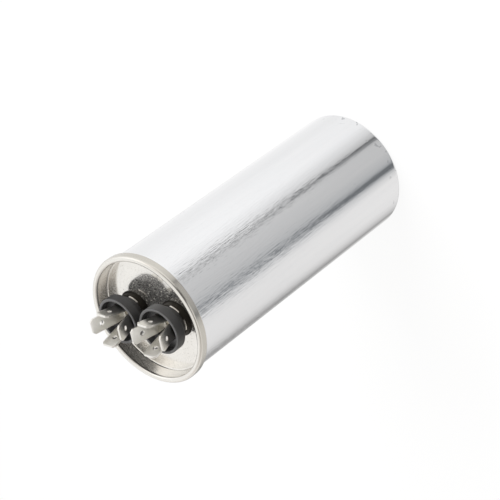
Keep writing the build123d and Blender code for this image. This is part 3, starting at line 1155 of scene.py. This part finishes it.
def make_world():
    """White surround for the camera. What the metal shows is a light tent with dark slits in its sides."""
    world = bpy.data.worlds.new("light_tent")
    world.use_nodes = True
    tree = world.node_tree
    tree.nodes.clear()
    direction = tree.nodes.new("ShaderNodeTexCoord").outputs["Generated"]
    x, y, z = add_node(tree, "ShaderNodeSeparateXYZ", {0: direction}).outputs
    bearing = calc(tree, "SUBTRACT", calc(tree, "ARCTAN2", y, x), radians(tent_join_deg))
    turn = calc(tree, "DIVIDE", calc(tree, "FLOORED_MODULO", bearing, 2 * pi), 2 * pi)
    tent = ramp(tree, turn, tent_foot)
    for sides, rise in ((tent_low, low_rise), (tent_eye, eye_rise), (tent_high, high_rise)):
        tent = blend(tree, remap(tree, z, rise), tent, ramp(tree, turn, sides))
    tent = blend(tree, remap(tree, z, crown_rise), tent, tent_crown)
    shown = add_node(tree, "ShaderNodeBackground", {"Color": (1, 1, 1, 1), "Strength": 1.0})
    lit = add_node(tree, "ShaderNodeBackground", {"Color": tent, "Strength": 1.0})
    mix = add_node(
        tree, "ShaderNodeMixShader", {0: camera_mask(tree), 1: lit.outputs[0], 2: shown.outputs[0]}
    )
    out = tree.nodes.new("ShaderNodeOutputWorld")
    tree.links.new(mix.outputs[0], out.inputs["Surface"])
    bpy.context.scene.world = world


def make_lamp():
    """Soft square lamp that faces the can."""
    light = bpy.data.lights.new("key_lamp", "AREA")
    light.size = lamp_size
    light.energy = lamp_watts
    lamp = bpy.data.objects.new("key_lamp", light)
    bpy.context.scene.collection.objects.link(lamp)
    lamp.visible_glossy = False
    lamp.location = lamp_place
    lamp.rotation_euler = (aim_place - lamp_place).to_track_quat("-Z", "Y").to_euler()


def make_camera():
    """Camera above the lid and to one side, rolled so that the can lies across the picture."""
    data = bpy.data.cameras.new("camera")
    data.sensor_width = camera_sensor
    data.lens = camera_lens
    data.clip_start = camera_near
    camera = bpy.data.objects.new("camera", data)
    bpy.context.scene.collection.objects.link(camera)
    look = (aim_place - camera_place).to_track_quat("-Z", "Y").to_matrix()
    camera.rotation_euler = (look @ Matrix.Rotation(camera_roll, 3, "Z")).to_euler()
    camera.location = camera_place
    bpy.context.scene.camera = camera


# The part is dressed

def dress(piece, node):
    """Piece that stands for a solid, joined to the root body, with the solid hidden."""
    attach(piece, "root")
    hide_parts(node)


def dress_node(node, material):
    """Solid that keeps its own mesh and gets a finish."""
    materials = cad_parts[node].data.materials
    materials.clear()
    materials.append(material)


terminal_axes = {}
for side in ("left", "right"):
    low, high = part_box(side + "_cup")
    terminal_axes[side] = Vector(((low.x + high.x) / 2, 0, 0))

turning_tree = make_turning_tree()
folding_tree = make_folding_tree()
lines_group = make_lines_group()
specks_group = make_specks_group()
wear_group = make_wear_group()
can_finish = make_can_finish()
lid_finish = make_lid_finish()
cup_finish = make_cup_finish()
tab_finish = make_tab_finish()
rivet_finish = make_rivet_finish()

can_draft = turned_draft("can_body", can_outline(), body_segments, can_finish)
dress(finish_piece("can_body", [can_draft]), "can")

deck_middle = Vector((0, 0, deck_z - lid_sheet / 2))
collar_holes = cylinders(
    [Matrix.Translation(axis + deck_middle) for axis in terminal_axes.values()],
    collar_foot_r,
    deck_cut,
    cup_segments,
)
lid_drafts = [turned_draft("seamed_lid", lid_outline(), body_segments, lid_finish)]
cut_holes(lid_drafts[0], [collar_holes])
for side, axis in terminal_axes.items():
    lid_drafts.append(turned_draft(side + "_collar", collar_outline(), cup_segments, lid_finish, axis))
dress(finish_piece("seamed_lid", lid_drafts), "lid")
bpy.data.objects.remove(collar_holes)

for side, axis in terminal_axes.items():
    cup_name = side + "_terminal_cup"
    cup_draft = turned_draft(cup_name, cup_outline(), cup_segments, cup_finish, axis)
    dress(finish_piece(cup_name, [cup_draft]), side + "_cup")
    rivet_name = side + "_terminal_rivet"
    rivet_draft = turned_draft(rivet_name, rivet_outline(), rivet_segments, rivet_finish, axis)
    dress(finish_piece(rivet_name, [rivet_draft]), side + "_rivet")
    stand = Matrix.Translation(axis + Vector((0, 0, deck_z)))
    across = stand @ Matrix.Rotation(pi / 2 + lower_strip_turn, 4, "Z")
    lower = tab_strip(side + "_lower_strip", cup_floor, south_splay, north_splay, across, tab_finish)
    dress(lower, side + "_lower_tabs")
    upper_z = cup_floor + tab_thickness
    upper = tab_strip(side + "_upper_strip", upper_z, west_splay, east_splay, stand, tab_finish)
    dress(upper, side + "_upper_tabs")

rubber = make_inner_finish(
    "seal_rubber",
    dark=(0.02, 0.02, 0.02),
    light=(0.04, 0.04, 0.04),
    roughness=(0.6, 0.75),
    grain=(900, 900, 900),
)
lining = make_inner_finish(
    "seam_lining",
    dark=(0.11, 0.11, 0.12),
    light=(0.18, 0.18, 0.19),
    roughness=(0.5, 0.65),
    grain=(700, 700, 700),
)
board = make_inner_finish(
    "pressed_board",
    dark=(0.20, 0.11, 0.05),
    light=(0.33, 0.19, 0.10),
    roughness=(0.55, 0.7),
    grain=(500, 2400, 2400),
    depth=0.00002,
)
holder = make_inner_finish(
    "holder_plastic",
    dark=(0.74, 0.74, 0.72),
    light=(0.82, 0.82, 0.80),
    roughness=(0.38, 0.48),
    grain=(300, 300, 300),
)
film = make_inner_finish(
    "wound_film",
    dark=(0.50, 0.51, 0.54),
    light=(0.70, 0.71, 0.74),
    roughness=(0.2, 0.35),
    grain=(60, 60, 9000),
    metallic=0.6,
)
wrap = make_inner_finish(
    "wrap_film",
    dark=(0.66, 0.62, 0.50),
    light=(0.80, 0.77, 0.68),
    roughness=(0.15, 0.3),
    grain=(120, 120, 1500),
)
zinc = make_inner_finish(
    "sprayed_zinc",
    dark=(0.32, 0.33, 0.35),
    light=(0.55, 0.56, 0.58),
    roughness=(0.6, 0.8),
    grain=(2600, 2600, 2600),
    metallic=0.8,
    depth=0.00006,
)
wire = make_inner_finish(
    "tinned_wire",
    dark=(0.62, 0.58, 0.52),
    light=(0.82, 0.79, 0.73),
    roughness=(0.2, 0.35),
    grain=(4000, 4000, 400),
    metallic=1.0,
    depth=0.000005,
)
inner_finishes = {
    "seam_compound": lining,
    "base_tray": holder,
    "bottom_end_spray": zinc,
    "film_winding": film,
    "core_tube": holder,
    "top_end_spray": zinc,
    "film_wrap": wrap,
    "top_spacer": holder,
    "top_lead": wire,
    "bottom_lead": wire,
}
for side in terminal_axes:
    inner_finishes[side + "_seal"] = rubber
    inner_finishes[side + "_under_insulator"] = board
    inner_finishes[side + "_solder_tag"] = wire
for node, material in inner_finishes.items():
    dress_node(node, material)

make_floor()
make_world()
make_lamp()
make_camera()
bpy.context.scene.view_settings.view_transform = "Standard"
